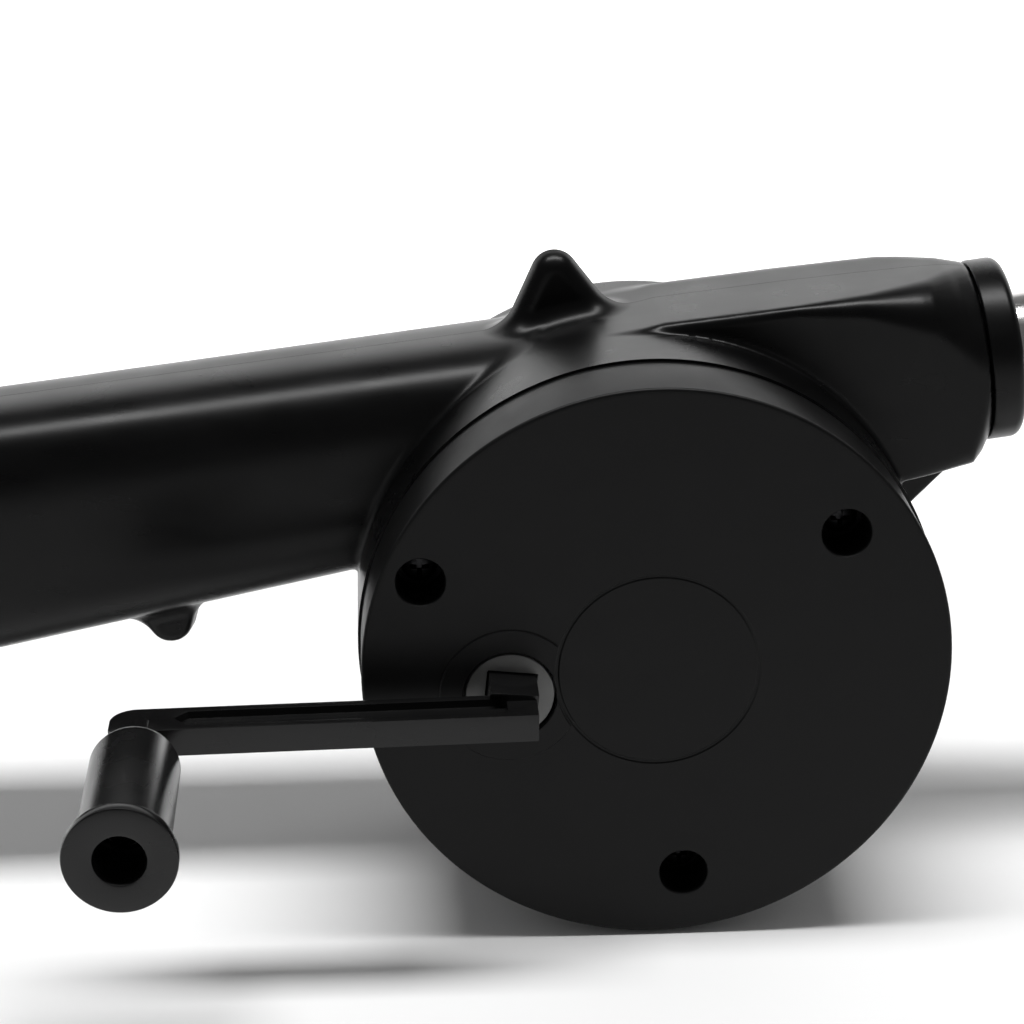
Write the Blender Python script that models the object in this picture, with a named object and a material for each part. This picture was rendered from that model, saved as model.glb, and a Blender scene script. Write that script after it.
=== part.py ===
"""Hand-crank air blower: a fan drum with a gear cover, a handle, a crank and an outlet tube.

Every length in this script is in millimetres and is turned into metres when a mesh is made.
The origin is the centre of the cover's flat front face, on the drum's axis. +X points to the
outlet tube, +Y runs along the drum's axis to the rear, and +Z is up. The blower stands on the rim
of its drum, with the handle to -X.
"""
import math

import bmesh
import bpy
from mathutils import Matrix, Vector

MM = 0.001
GAP = 0.3                     # space left between pieces that touch

# Drum and cover
COVER_R = 50.0
COVER_DEPTH = 21.7
COVER_WALL = 2.2
COVER_FACE_WALL = 2.4
COVER_EDGE = 0.6              # small chamfer round the front face
MEDALLION_R = 17.1
MEDALLION_GROOVE = (0.7, 0.3)  # width and depth
SCREW_SPOTS = ((43.3, 157.0), (39.3, 38.0), (38.9, -82.4))   # radius and angle in degrees
COUNTERBORE_R = 4.15
COVER_POST_R = 5.3
HEAD_SEAT_Y = 9.4

DRUM_R = 50.5
DRUM_FRONT_Y = COVER_DEPTH + GAP
DRUM_REAR_Y = 63.5
DRUM_REAR_EDGE = 3.0
DRUM_WALL = 2.6
DIVIDER_Y = DRUM_FRONT_Y + 2.4   # back of the wall between the gears and the fan
PARTING_Y = 45.0
FAN_ROOM_END_Y = DRUM_REAR_Y - 2.4

# Handle: an oval section that grows and drops towards the butt
HANDLE_ROOT_X = -26.0
HANDLE_BUTT_X = -148.0
HANDLE_HALF_DEPTH = 18.0
HANDLE_ROOT_Z = 28.0
HANDLE_SLOPE = 0.171
HANDLE_ROOT_HALF = 18.5
HANDLE_GROWTH = 0.0465
HANDLE_SQUARENESS = 3.0
HANDLE_WALL = 2.4
BUTT_ROUNDING = 14.0
HOLLOW_ROOT_X = -53.5         # the hollow stops short of the drum's wall

# Outlet: its axis lies in the parting plane and rises towards the tube's end.
# Places along the axis are counted so that they equal X at the pivot.
OUTLET_PIVOT_X, OUTLET_PIVOT_Z = 61.0, 41.15
OUTLET_RISE = math.radians(7.7)
CHEEK_Y, OUTLET_REAR_Y = 28.0, 62.0
OUTLET_WALL = 2.4
OUTLET_END = 60.6
NECK_R = 14.6
COLLAR_R = 16.2
COLLAR_SPAN = (60.9, 66.8)
TUBE_R = 10.0
TUBE_WALL = 0.8
TUBE_SPAN = (51.0, 165.0)

STUB_R, STUB_END_Y = 2.9, 14.2   # pivot on the divider wall that carries the crank wheel's hub

# Crank, with its axis off the drum's axis
CRANK_X, CRANK_Z = -25.0, -4.0
HUB_R = 7.5
HUB_OPENING_R = 7.9
HUB_RING_R = 11.9
HUB_RING_HEIGHT = 0.4
SOCKET_SIDE = 8.6
PEG_SIDE = 8.0
PEG_TURN = math.radians(-6.0)
PEG_END_Y = 11.6
ARM_REAR_Y, ARM_FRONT_Y = -5.6, -14.0
ARM_HALF_HEIGHT = 2.35
ARM_RIB = 1.6
ARM_GROOVE_DEPTH = 1.3
ARM_HUB_END = (-21.0, -3.5)
GRIP_X, GRIP_Z = -86.2, -4.7
GRIP_FRONT_Y = -53.7
GRIP_REAR_Y = -18.6
GRIP_R = 7.3
GRIP_FLANGE_R = 8.85
GRIP_BORE_R = 3.15
SPINDLE_R = 2.8
SPINDLE_COLLAR_R = 3.4        # stops the grip from sliding on to the arm
GRIP_COUNTERBORE_R = 3.95
SPINDLE_END_Y = -41.0

# Gear train: crank wheel, compound idler, fan pinion
PRESSURE_ANGLE = math.radians(25.0)
TOOTH_THINNING = 0.16
FIRST_MODULE, WHEEL_TEETH, IDLER_PINION_TEETH = 0.8, 48, 12
SECOND_MODULE, IDLER_WHEEL_TEETH, FAN_PINION_TEETH = 0.7, 40, 10
WHEEL_Y = (4.2, 9.0)
IDLER_PINION_Y = (3.9, 9.4)
IDLER_WHEEL_Y = (10.2, 14.8)
FAN_PINION_Y = (9.8, 15.4)
IDLER_PIN_R = 1.5

SHAFT_R = 1.55
SHAFT_Y = (8.6, 59.4)
SHAFT_BORE_R = 1.85
BUSH_R = 4.0
IMPELLER_R = 34.5
IMPELLER_Y = (28.0, 50.0)
BLADES = 10

# Fasteners
CLEARANCE_R = 1.8
PILOT_R = 1.6
THREAD_R = 1.3
BUTT_POST = (-134.0, 10.4)
DRUM_POST = (-22.3, -38.4)
EAR_Y = (41.5, 48.5)
HANDLE_LUG_Y = (40.0, 48.5)
EAR_SCREWS = ((-14.7, 56.4), (50.6, 19.6), (-84.0, -7.2))


# ---------------------------------------------------------------- materials

BLACK_PLASTIC = ("black_plastic", (0.012, 0.012, 0.013), 0.42, 0.0)
CRANK_PLASTIC = ("crank_plastic", (0.014, 0.014, 0.015), 0.34, 0.0)
NYLON = ("natural_nylon", (0.62, 0.62, 0.60), 0.45, 0.0)
GEAR_RESIN = ("gear_resin", (0.70, 0.69, 0.63), 0.50, 0.0)
STEEL = ("bright_steel", (0.60, 0.60, 0.61), 0.25, 1.0)
BLACK_STEEL = ("black_steel", (0.02, 0.02, 0.022), 0.35, 1.0)
CHROME = ("polished_tube", (0.78, 0.77, 0.76), 0.12, 1.0)
BRASS = ("sintered_brass", (0.62, 0.45, 0.20), 0.40, 1.0)


def material(finish):
    """The Principled material of a finish, made once and then shared."""
    name, colour, roughness, metallic = finish
    found = bpy.data.materials.get(name)
    if found:
        return found
    made = bpy.data.materials.new(name)
    made.use_nodes = True
    shader = made.node_tree.nodes["Principled BSDF"]
    shader.inputs["Base Color"].default_value = (*colour, 1.0)
    shader.inputs["Roughness"].default_value = roughness
    shader.inputs["Metallic"].default_value = metallic
    return made


# ---------------------------------------------------------------- mesh helpers

def tidy_faces(bm):
    """Merge points within a micron, and faces that lie in one plane."""
    bmesh.ops.remove_doubles(bm, verts=bm.verts, dist=1e-6)
    bmesh.ops.dissolve_limit(bm, verts=bm.verts, edges=bm.edges, angle_limit=math.radians(0.1))


def finish_mesh(name, bm, finish, pivot=(0.0, 0.0, 0.0)):
    """Make a named object from a mesh in millimetres, with its origin at pivot."""
    bmesh.ops.translate(bm, verts=bm.verts, vec=-Vector(pivot))
    bmesh.ops.scale(bm, verts=bm.verts, vec=(MM, MM, MM))
    tidy_faces(bm)
    bmesh.ops.recalc_face_normals(bm, faces=bm.faces)
    mesh = bpy.data.meshes.new(name)
    bm.to_mesh(mesh)
    bm.free()
    mesh.materials.append(material(finish))
    made = bpy.data.objects.new(name, mesh)
    made.location = Vector(pivot) * MM
    bpy.context.scene.collection.objects.link(made)
    return made


def prism_mesh(outline, y_start, y_end):
    """A solid whose XZ outline runs from y_start to y_end."""
    bm = bmesh.new()
    base = bm.faces.new([bm.verts.new((x, y_start, z)) for x, z in outline])
    grown = bmesh.ops.extrude_face_region(bm, geom=[base])
    moved = [item for item in grown["geom"] if isinstance(item, bmesh.types.BMVert)]
    bmesh.ops.translate(bm, verts=moved, vec=(0.0, y_end - y_start, 0.0))
    return bm


def turned_mesh(profile, centre=(0.0, 0.0), steps=48, closed=True):
    """Spin a profile of (radius, y) points about the Y axis through centre (x, z)."""
    bm = bmesh.new()
    points = [bm.verts.new((centre[0] + radius, y, centre[1])) for radius, y in profile]
    edges = [bm.edges.new(pair) for pair in zip(points, points[1:])]
    if closed:
        edges.append(bm.edges.new((points[-1], points[0])))
    bmesh.ops.spin(bm, geom=points + edges, cent=(centre[0], 0.0, centre[1]), axis=(0.0, 1.0, 0.0),
                   angle=math.tau, steps=steps, use_merge=True)
    bmesh.ops.remove_doubles(bm, verts=bm.verts, dist=1e-4)
    return bm


def on_outlet_axis(bm):
    """Turn a mesh made round the Y axis so that it lies round the outlet's axis."""
    rise, run = math.sin(OUTLET_RISE), math.cos(OUTLET_RISE)
    turn = Matrix(((-rise, run, 0.0), (0.0, 0.0, 1.0), (run, rise, 0.0)))
    pivot = Vector((OUTLET_PIVOT_X, PARTING_Y, OUTLET_PIVOT_Z))
    for vert in bm.verts:
        vert.co = turn @ (vert.co - Vector((0.0, OUTLET_PIVOT_X, 0.0))) + pivot
    return bm


def turned_outlet_mesh(profile, steps=48, closed=True):
    """Spin a profile of (radius, place) points about the outlet's axis."""
    return on_outlet_axis(turned_mesh(profile, steps=steps, closed=closed))


def loft_mesh(rings):
    """Skin closed rings of equal length, and cap both ends."""
    bm = bmesh.new()
    rows = [[bm.verts.new(point) for point in ring] for ring in rings]
    for near, far in zip(rows, rows[1:]):
        for i in range(len(near)):
            j = (i + 1) % len(near)
            bm.faces.new((near[i], near[j], far[j], far[i]))
    bm.faces.new(rows[0])
    bm.faces.new(rows[-1])
    return bm


def rod_mesh(centre, radius, y_start, y_end, steps=32):
    """A plain cylinder along Y."""
    return turned_mesh([(0.0, y_start), (radius, y_start), (radius, y_end), (0.0, y_end)],
                       centre, steps, closed=False)


def tool(bm):
    """A temporary object for a Boolean."""
    return finish_mesh("tool", bm, BLACK_PLASTIC)


def combine(target, operation, *tools):
    """Run one Boolean for each tool on target, and keep only the result."""
    for other in tools:
        step = target.modifiers.new("shape", "BOOLEAN")
        step.operation = operation
        step.solver = "EXACT"
        step.object = other
        graph = bpy.context.evaluated_depsgraph_get()
        result = bpy.data.meshes.new_from_object(target.evaluated_get(graph))
        target.modifiers.clear()
        result.name = target.name
        target.data = result
        bpy.data.objects.remove(other)
    return target


def join(target, *meshes):
    return combine(target, "UNION", *[tool(bm) for bm in meshes])


def cut(target, *meshes):
    return combine(target, "DIFFERENCE", *[tool(bm) for bm in meshes])


def smooth(target, angle=35.0):
    """Merge flat faces, then shade round faces smooth and leave real edges sharp."""
    bm = bmesh.new()
    bm.from_mesh(target.data)
    tidy_faces(bm)
    bm.to_mesh(target.data)
    bm.free()
    target.data.shade_smooth()
    target.data.set_sharp_from_angle(angle=math.radians(angle))
    return target


# ---------------------------------------------------------------- outlines

def polar(radius, degrees, centre=(0.0, 0.0)):
    angle = math.radians(degrees)
    return centre[0] + radius * math.cos(angle), centre[1] + radius * math.sin(angle)


def arc(centre, radius, start, end, count):
    """Points of an arc from start to end, in degrees."""
    return [polar(radius, start + (end - start) * i / (count - 1), centre) for i in range(count)]


def square(centre, side, turn):
    """The corners of a square turned about its centre."""
    return arc(centre, side / math.sqrt(2.0), math.degrees(turn) + 45.0, math.degrees(turn) + 315.0, 4)


def oval_ring(x, y_centre, z_centre, half_depth, half_height, squareness, count=24):
    """A superellipse in the plane of one X."""
    ring = []
    for i in range(count):
        angle = math.tau * i / count
        across, up = math.cos(angle), math.sin(angle)
        y = math.copysign(abs(across) ** (2.0 / squareness), across) * half_depth
        z = math.copysign(abs(up) ** (2.0 / squareness), up) * half_height
        ring.append((x, y_centre + y, z_centre + z))
    return ring


def rounded_ring(place, y_span, height_span, radii, per_corner=6):
    """A rectangle across the outlet's axis, with its own radius at each corner.

    Heights are counted from the axis. radii runs round the corners: front top, rear top, rear
    bottom, front bottom.
    """
    (y0, y1), (h0, h1) = y_span, height_span
    corners = (
        (y0, h1, 1, -1, 180.0), (y1, h1, -1, -1, 90.0), (y1, h0, -1, 1, 0.0), (y0, h0, 1, 1, -90.0),
    )
    rise, run = math.sin(OUTLET_RISE), math.cos(OUTLET_RISE)
    along = place - OUTLET_PIVOT_X
    ring = []
    for (y, h, inward_y, inward_h, start), radius in zip(corners, radii):
        centre = (y + inward_y * radius, h + inward_h * radius)
        for y_point, height in arc(centre, radius, start, start - 90.0, per_corner):
            x = OUTLET_PIVOT_X + along * run - height * rise
            z = OUTLET_PIVOT_Z + along * rise + height * run
            ring.append((x, y_point, z))
    return ring


def gear_outline(teeth, module, centre, tooth_angle, flank_points):
    """Outline of an involute gear with one tooth centred on tooth_angle, in radians."""
    pitch_r = teeth * module / 2.0
    base_r = pitch_r * math.cos(PRESSURE_ANGLE)
    tip_r = pitch_r + 0.8 * module
    root_r = pitch_r - 1.15 * module
    half_at_pitch = (math.pi * module / 2.0 - TOOTH_THINNING) / (2.0 * pitch_r)

    def involute(radius):
        leaning = math.acos(min(1.0, base_r / radius))
        return math.tan(leaning) - leaning

    start_r = max(base_r, root_r)
    flank = [start_r + (tip_r - start_r) * i / (flank_points - 1) for i in range(flank_points)]
    halves = [(r, half_at_pitch + involute(pitch_r) - involute(r)) for r in flank]
    if root_r < base_r - 0.05:
        halves.insert(0, (root_r, halves[0][1]))
    outline = []
    for tooth in range(teeth):
        middle = tooth_angle + math.tau * tooth / teeth
        side = [(r, middle - half) for r, half in halves]
        side += [(r, middle + half) for r, half in reversed(halves)]
        outline += [(centre[0] + r * math.cos(a), centre[1] + r * math.sin(a)) for r, a in side]
    return outline


def meshing_angle(driver_centre, driver_teeth, driver_angle, centre, teeth):
    """The tooth angle that sets a gear in mesh with its driver."""
    line = math.atan2(centre[1] - driver_centre[1], centre[0] - driver_centre[0])
    offset = (line - driver_angle) / (math.tau / driver_teeth) % 1.0
    return line + math.pi - (0.5 - offset) * math.tau / teeth


def idler_centre():
    """Where the idler is in mesh with the crank wheel and with the pinion on the drum's axis."""
    first = FIRST_MODULE * (WHEEL_TEETH + IDLER_PINION_TEETH) / 2.0
    second = SECOND_MODULE * (IDLER_WHEEL_TEETH + FAN_PINION_TEETH) / 2.0
    span = math.hypot(CRANK_X, CRANK_Z)
    along = (first ** 2 - second ** 2 + span ** 2) / (2.0 * span)
    off = math.sqrt(first ** 2 - along ** 2)
    ux, uz = -CRANK_X / span, -CRANK_Z / span
    return CRANK_X + along * ux - off * uz, CRANK_Z + along * uz + off * ux


CRANK_CENTRE = (CRANK_X, CRANK_Z)
GRIP_CENTRE = (GRIP_X, GRIP_Z)
IDLER_CENTRE = idler_centre()
SHAFT_CENTRE = (0.0, 0.0)
COVER_SCREWS = tuple(polar(radius, angle) for radius, angle in SCREW_SPOTS)


# ---------------------------------------------------------------- cover and its screws

def make_front_cover():
    """Shallow cup over the gears, with screw posts, the hub opening and a ringed medallion."""
    groove_width, groove_depth = MEDALLION_GROOVE
    inner = COVER_R - COVER_WALL
    profile = [
        (0.0, 0.0), (MEDALLION_R - groove_width / 2, 0.0), (MEDALLION_R - groove_width / 2, groove_depth),
        (MEDALLION_R + groove_width / 2, groove_depth), (MEDALLION_R + groove_width / 2, 0.0),
        (COVER_R - COVER_EDGE, 0.0), (COVER_R, COVER_EDGE), (COVER_R, COVER_DEPTH),
        (inner, COVER_DEPTH), (inner, COVER_FACE_WALL), (0.0, COVER_FACE_WALL),
    ]
    cover = finish_mesh("front_cover", turned_mesh(profile, steps=64, closed=False), BLACK_PLASTIC)
    ring = prism_mesh(hub_ring_outline(), -HUB_RING_HEIGHT, 1.2)
    posts = [rod_mesh(spot, COVER_POST_R, 1.2, COVER_DEPTH - GAP, 20) for spot in COVER_SCREWS]
    pin_boss = rod_mesh(IDLER_CENTRE, 3.4, 1.2, IDLER_PINION_Y[0] - GAP, 16)
    join(cover, ring, *posts, pin_boss)
    cut(cover, rod_mesh(CRANK_CENTRE, HUB_OPENING_R, -1.0, 4.0, 40),
        rod_mesh(IDLER_CENTRE, IDLER_PIN_R + GAP, 1.4, 6.0, 16))
    for spot in COVER_SCREWS:
        cut(cover, rod_mesh(spot, COUNTERBORE_R, -1.0, HEAD_SEAT_Y, 24))
        cut(cover, rod_mesh(spot, CLEARANCE_R, HEAD_SEAT_Y - 1.0, COVER_DEPTH + 1.0, 16))
    return smooth(cover)


def hub_ring_outline():
    """Raised ring round the hub opening, cut short where the medallion's groove passes."""
    keep_out = MEDALLION_R + MEDALLION_GROOVE[0] / 2 + GAP
    reach = math.hypot(CRANK_X, CRANK_Z)
    towards_centre = math.degrees(math.atan2(-CRANK_Z, -CRANK_X))
    cosine = (HUB_RING_R ** 2 + reach ** 2 - keep_out ** 2) / (2.0 * HUB_RING_R * reach)
    half_lens = math.degrees(math.acos(cosine))
    first, last = towards_centre + half_lens, towards_centre + 360.0 - half_lens
    outline = arc(CRANK_CENTRE, HUB_RING_R, first, last, 32)
    start = math.degrees(math.atan2(outline[-1][1], outline[-1][0])) % 360.0
    end = math.degrees(math.atan2(outline[0][1], outline[0][0])) % 360.0
    return outline + arc(SHAFT_CENTRE, keep_out, start, end, 8)[1:-1]


def screw_mesh(spot, head_r, head_span, tip_y, thread_r=THREAD_R, point=1.6):
    """A pan-head cross-recess screw along Y, whose head faces away from tip_y."""
    seat, top = head_span
    inward = 1.0 if tip_y > seat else -1.0
    crown = top + inward * 0.6
    profile = [(0.0, top), (head_r * 0.62, top), (head_r, crown), (head_r, seat),
               (thread_r, seat), (thread_r, tip_y - inward * point), (0.0, tip_y)]
    return turned_mesh(profile, spot, 14, closed=False)


def cross_recess_meshes(spot, top_y, depth, size=3.2, width=0.8):
    """The two crossed slots of a screw's drive."""
    x, z = spot
    start, end = sorted((top_y - math.copysign(1.0, depth), top_y + depth))
    bars = []
    for half_x, half_z in ((size / 2, width / 2), (width / 2, size / 2)):
        outline = [(x + sx * half_x, z + sz * half_z) for sx, sz in ((-1, -1), (1, -1), (1, 1), (-1, 1))]
        bars.append(prism_mesh(outline, start, end))
    return bars


def make_screw(name, spot, head_r, head_span, tip_y, pivot=(0.0, 0.0, 0.0)):
    seat, top = head_span
    screw = finish_mesh(name, screw_mesh(spot, head_r, head_span, tip_y), BLACK_STEEL, pivot)
    depth = math.copysign(1.1, seat - top)
    return smooth(cut(screw, *cross_recess_meshes(spot, top, depth)))


def make_cover_screws():
    seat = HEAD_SEAT_Y - GAP
    for number, spot in enumerate(COVER_SCREWS, 1):
        make_screw(f"cover_screw_{number}", spot, 3.1, (seat, seat - 2.2), 32.0)


# ---------------------------------------------------------------- casing

def handle_mesh(shrink=0.0, butt_shrink=0.0, root_x=HANDLE_ROOT_X):
    """The handle as a solid, or shrunk to be its hollow. Its butt narrows along an ellipse."""
    end_x = HANDLE_BUTT_X + butt_shrink
    straight_end_x = end_x + BUTT_ROUNDING
    stations = [root_x + (straight_end_x - root_x) * i / 2 for i in range(3)]
    stations += [end_x + BUTT_ROUNDING * (1.0 - math.sin(math.radians(a))) for a in (35, 62, 82)]
    rings = []
    for x in stations:
        drop = HANDLE_ROOT_X - x
        inset = max(0.0, (straight_end_x - x) / BUTT_ROUNDING)
        taper = 0.45 + 0.55 * math.sqrt(1.0 - inset ** 2)
        z = HANDLE_ROOT_Z - HANDLE_SLOPE * drop
        half = (HANDLE_ROOT_HALF + HANDLE_GROWTH * drop - shrink) * taper
        depth = (HANDLE_HALF_DEPTH - shrink) * taper
        rings.append(oval_ring(x, PARTING_Y, z, depth, half, HANDLE_SQUARENESS))
    return loft_mesh(rings)


# Sections along the outlet: place, bottom and top height, front top and front bottom radius
OUTLET_SECTIONS = (
    (-6.0, -14.0, 17.0, 1.0, 3.0),
    (28.0, -17.4, 18.0, 1.5, 3.0),
    (40.0, -17.0, 17.7, 3.5, 2.0),
    (48.0, -16.6, 17.4, 6.5, 2.0),
    (54.0, -16.4, 17.0, 10.0, 3.0),
    (57.6, -16.2, 16.6, 14.0, 6.0),
    (OUTLET_END, 0.4 - COLLAR_R, COLLAR_R - 0.4, COLLAR_R - 0.41, COLLAR_R - 0.41),
)


def outlet_mesh():
    """The outlet as a solid that turns from a box with a flat cheek to a round end."""
    rings = []
    for place, bottom, top, front_top, front_bottom in OUTLET_SECTIONS:
        soft = max(0.0, (place - 40.0) / (OUTLET_END - 40.0)) ** 2
        front_y = CHEEK_Y + soft * (PARTING_Y - COLLAR_R + 0.4 - CHEEK_Y)
        rear_y = OUTLET_REAR_Y + soft * (PARTING_Y + COLLAR_R - 0.4 - OUTLET_REAR_Y)
        rear = 10.0 + (COLLAR_R - 0.41 - 10.0) * soft
        radii = (front_top, rear, rear, front_bottom)
        rings.append(rounded_ring(place, (front_y, rear_y), (bottom, top), radii))
    return loft_mesh(rings)


def duct_mesh():
    """Air way from the fan room to the tube's socket."""
    bore = TUBE_R - TUBE_WALL
    depth = (CHEEK_Y + OUTLET_WALL, OUTLET_REAR_Y - OUTLET_WALL)
    bore_y = (PARTING_Y - bore, PARTING_Y + bore)
    return loft_mesh([
        rounded_ring(-4.0, depth, (-12.0, 14.6), (3.0, 8.0, 8.0, 3.0)),
        rounded_ring(20.0, depth, (-10.0, 14.6), (4.0, 8.0, 8.0, 4.0)),
        rounded_ring(TUBE_SPAN[0] - 12.0, bore_y, (-bore, bore), [bore - 0.01] * 4),
        rounded_ring(TUBE_SPAN[0] + 2.0, bore_y, (-bore, bore), [bore - 0.01] * 4),
    ])


def ear_top_outline(grow):
    """Tapered lug on top of the drum; grow widens it towards the parting plane."""
    left = [(-31.0 - grow, 40.0), (-27.5 - grow, 43.6), (-23.4 - grow, 46.9), (-21.0 - grow, 51.4)]
    tip = arc((-14.7, 56.6), 3.8 + grow, 160.0, 36.0, 8)
    right = [(-5.3 + grow, 51.0), (-1.5 + grow, 49.3), (4.0 + grow, 47.6), (5.0 + grow, 44.0)]
    return left + tip + right


def ear_outlet_outline(grow):
    """Corner web between the drum and the outlet's underside."""
    outline = ((44.0, 15.0), (45.4, 8.3), (57.4, 20.9), (54.0, 30.0), (46.0, 30.0))
    return [(x + grow, z - grow) for x, z in outline]


def ear_handle_outline(grow):
    """Lug under the handle."""
    return [(-93.0 - grow, 0.0), (-91.6 - grow, -4.2), (-89.0 - grow, -6.6), (-87.0 - grow, -9.4),
            (-85.4, -11.0 - grow), (-82.6, -11.0 - grow), (-81.0 + grow, -9.4), (-80.0 + grow, -4.4),
            (-77.0 + grow, 0.0)]


EARS = ((ear_top_outline, EAR_Y), (ear_outlet_outline, EAR_Y), (ear_handle_outline, HANDLE_LUG_Y))
EAR_DRAFT = 0.8


def ear_mesh(outline, y_span):
    """A lug with drafted sides, widest at the parting plane."""
    stations = ((y_span[0], 0.0), (PARTING_Y, EAR_DRAFT), (y_span[1], 0.0))
    return loft_mesh([[(x, y, z) for x, z in outline(grow)] for y, grow in stations])


def drum_mesh():
    edge = DRUM_REAR_EDGE
    rounding = [polar(edge, angle, (DRUM_R - edge, DRUM_REAR_Y - edge)) for angle in (0, 30, 60, 90)]
    return turned_mesh([(0.0, DRUM_FRONT_Y), (DRUM_R - 0.4, DRUM_FRONT_Y), (DRUM_R, DRUM_FRONT_Y + 0.4)]
                       + rounding + [(0.0, DRUM_REAR_Y)], steps=72, closed=False)


def fan_room_mesh():
    return rod_mesh(SHAFT_CENTRE, DRUM_R - DRUM_WALL, DIVIDER_Y, FAN_ROOM_END_Y, 72)


def outlet_rod_mesh(radius, start, end, steps=36):
    """A plain cylinder on the outlet's axis."""
    profile = [(0.0, start), (radius, start), (radius, end), (0.0, end)]
    return turned_outlet_mesh(profile, steps, closed=False)


def half_space_mesh(front):
    """A block that removes everything behind, or in front of, the parting plane."""
    y0, y1 = (PARTING_Y - GAP / 2, 90.0) if front else (-20.0, PARTING_Y + GAP / 2)
    return prism_mesh([(-200.0, -90.0), (120.0, -90.0), (120.0, 110.0), (-200.0, 110.0)], y0, y1)


def make_casing_blank(name):
    """Outer shape of the whole casing with its rooms cut out, before it is parted."""
    blank = finish_mesh(name, drum_mesh(), BLACK_PLASTIC)
    join(blank, handle_mesh(), outlet_mesh(), *[ear_mesh(*ear) for ear in EARS])
    join(blank, outlet_rod_mesh(NECK_R, OUTLET_END - 4.0, COLLAR_SPAN[1] - 2.4))
    cut(blank, fan_room_mesh(), handle_mesh(HANDLE_WALL, 3.0, HOLLOW_ROOT_X), duct_mesh())
    cut(blank, outlet_rod_mesh(TUBE_R + GAP, TUBE_SPAN[0] - GAP, 80.0))
    return blank


def make_front_casing():
    """Front half of drum, handle and outlet, with the divider wall that carries the gears."""
    casing = cut(make_casing_blank("front_casing"), half_space_mesh(front=True))
    wall_y = DRUM_FRONT_Y + 1.0
    stub = rod_mesh(CRANK_CENTRE, STUB_R, STUB_END_Y, wall_y, 24)
    pin_boss = rod_mesh(IDLER_CENTRE, 3.6, 17.4, wall_y, 24)
    bush_boss = rod_mesh(SHAFT_CENTRE, 7.0, 19.4, wall_y, 32)
    pillars = [rod_mesh(spot, 3.8, wall_y, 34.0, 20) for spot in COVER_SCREWS]
    posts = [rod_mesh(spot, 4.4, start, PARTING_Y - GAP, 24)
             for spot, start in ((BUTT_POST, 28.5), (DRUM_POST, wall_y))]
    join(casing, stub, pin_boss, bush_boss, *pillars, *posts)
    cut(casing, rod_mesh(SHAFT_CENTRE, BUSH_R + GAP, 15.0, 30.0, 32),
        rod_mesh(IDLER_CENTRE, IDLER_PIN_R + GAP, 15.0, DIVIDER_Y - 0.9, 20))
    cut(casing, *[rod_mesh(spot, PILOT_R, 18.0, 33.0, 16) for spot in COVER_SCREWS])
    cut(casing, *[rod_mesh(spot, PILOT_R, 35.0, 50.0, 16) for spot in (BUTT_POST, DRUM_POST)])
    cut(casing, *[rod_mesh(spot, PILOT_R, 42.5, 50.0, 16) for spot in EAR_SCREWS])
    return smooth(casing)


def make_rear_casing():
    """Rear half, with the air intake grille and the rear bearing's boss."""
    casing = cut(make_casing_blank("rear_casing"), half_space_mesh(front=False))
    posts = [rod_mesh(spot, 4.8, PARTING_Y + GAP, end, 24)
             for spot, end in ((BUTT_POST, 61.5), (DRUM_POST, 62.2))]
    join(casing, rod_mesh(SHAFT_CENTRE, 7.0, 54.0, 62.4, 32), *posts)
    cut(casing, rod_mesh(SHAFT_CENTRE, BUSH_R + GAP, 50.0, 60.3, 32))
    cut(casing, *[rod_mesh(spot, CLEARANCE_R, 40.0, 60.0, 16) for spot in (BUTT_POST, DRUM_POST)])
    cut(casing, *[rod_mesh(spot, 3.4, 55.0, 70.0, 24) for spot in (BUTT_POST, DRUM_POST)])
    cut(casing, *[rod_mesh(spot, CLEARANCE_R, 40.0, 52.0, 16) for spot in EAR_SCREWS])
    cut(casing, *[slot_mesh(index) for index in range(12)])
    return smooth(casing)


def slot_mesh(index):
    """One radial slot of the intake grille."""
    angle = 30.0 * index + 15.0
    along = Vector(polar(1.0, angle))
    across = Vector((-along.y, along.x))
    half_width = 2.2
    ends = []
    for reach, turn in ((28.0, 1.0), (13.0, -1.0)):
        middle = along * reach
        for sweep in (-90.0, -45.0, 0.0, 45.0, 90.0):
            a = math.radians(sweep)
            ends.append(middle + (along * math.cos(a) + across * math.sin(a)) * turn * half_width)
    return prism_mesh([tuple(point) for point in ends], DRUM_REAR_Y - 4.0, DRUM_REAR_Y + 2.0)


def make_casing_screws():
    for number, spot in enumerate(EAR_SCREWS, 1):
        make_screw(f"ear_screw_{number}", spot, 2.6, (EAR_Y[1] + GAP, EAR_Y[1] + GAP + 1.8), 43.0)
    for name, spot in (("handle_screw", BUTT_POST), ("drum_screw", DRUM_POST)):
        make_screw(name, spot, 2.9, (55.0 + GAP, 55.0 + GAP + 2.2), 36.0)


# ---------------------------------------------------------------- outlet fittings

def make_outlet_collar():
    """Ring that clamps the two halves of the neck round the tube."""
    start, end = COLLAR_SPAN
    sleeve_r = NECK_R + GAP
    lip_r = TUBE_R + GAP
    corner = 1.8
    outer = [polar(corner, a, (COLLAR_R - corner, end - corner)) for a in (0, 45, 90)]
    profile = [(sleeve_r, start), (COLLAR_R - 0.5, start), (COLLAR_R, start + 0.5)] + outer \
        + [(lip_r, end), (lip_r, end - 2.0), (sleeve_r, end - 2.0)]
    return smooth(finish_mesh("outlet_collar", turned_outlet_mesh(profile, 40), BLACK_PLASTIC))


def make_air_tube():
    """Thin metal tube that carries the air to the fire."""
    start, end = TUBE_SPAN
    inner = TUBE_R - TUBE_WALL
    profile = [(inner, start), (TUBE_R, start), (TUBE_R, end - 0.3), (TUBE_R - 0.3, end),
               (inner + 0.2, end), (inner, end - 0.2)]
    return smooth(finish_mesh("air_tube", turned_outlet_mesh(profile, 36), CHROME))


# ---------------------------------------------------------------- crank

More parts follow.
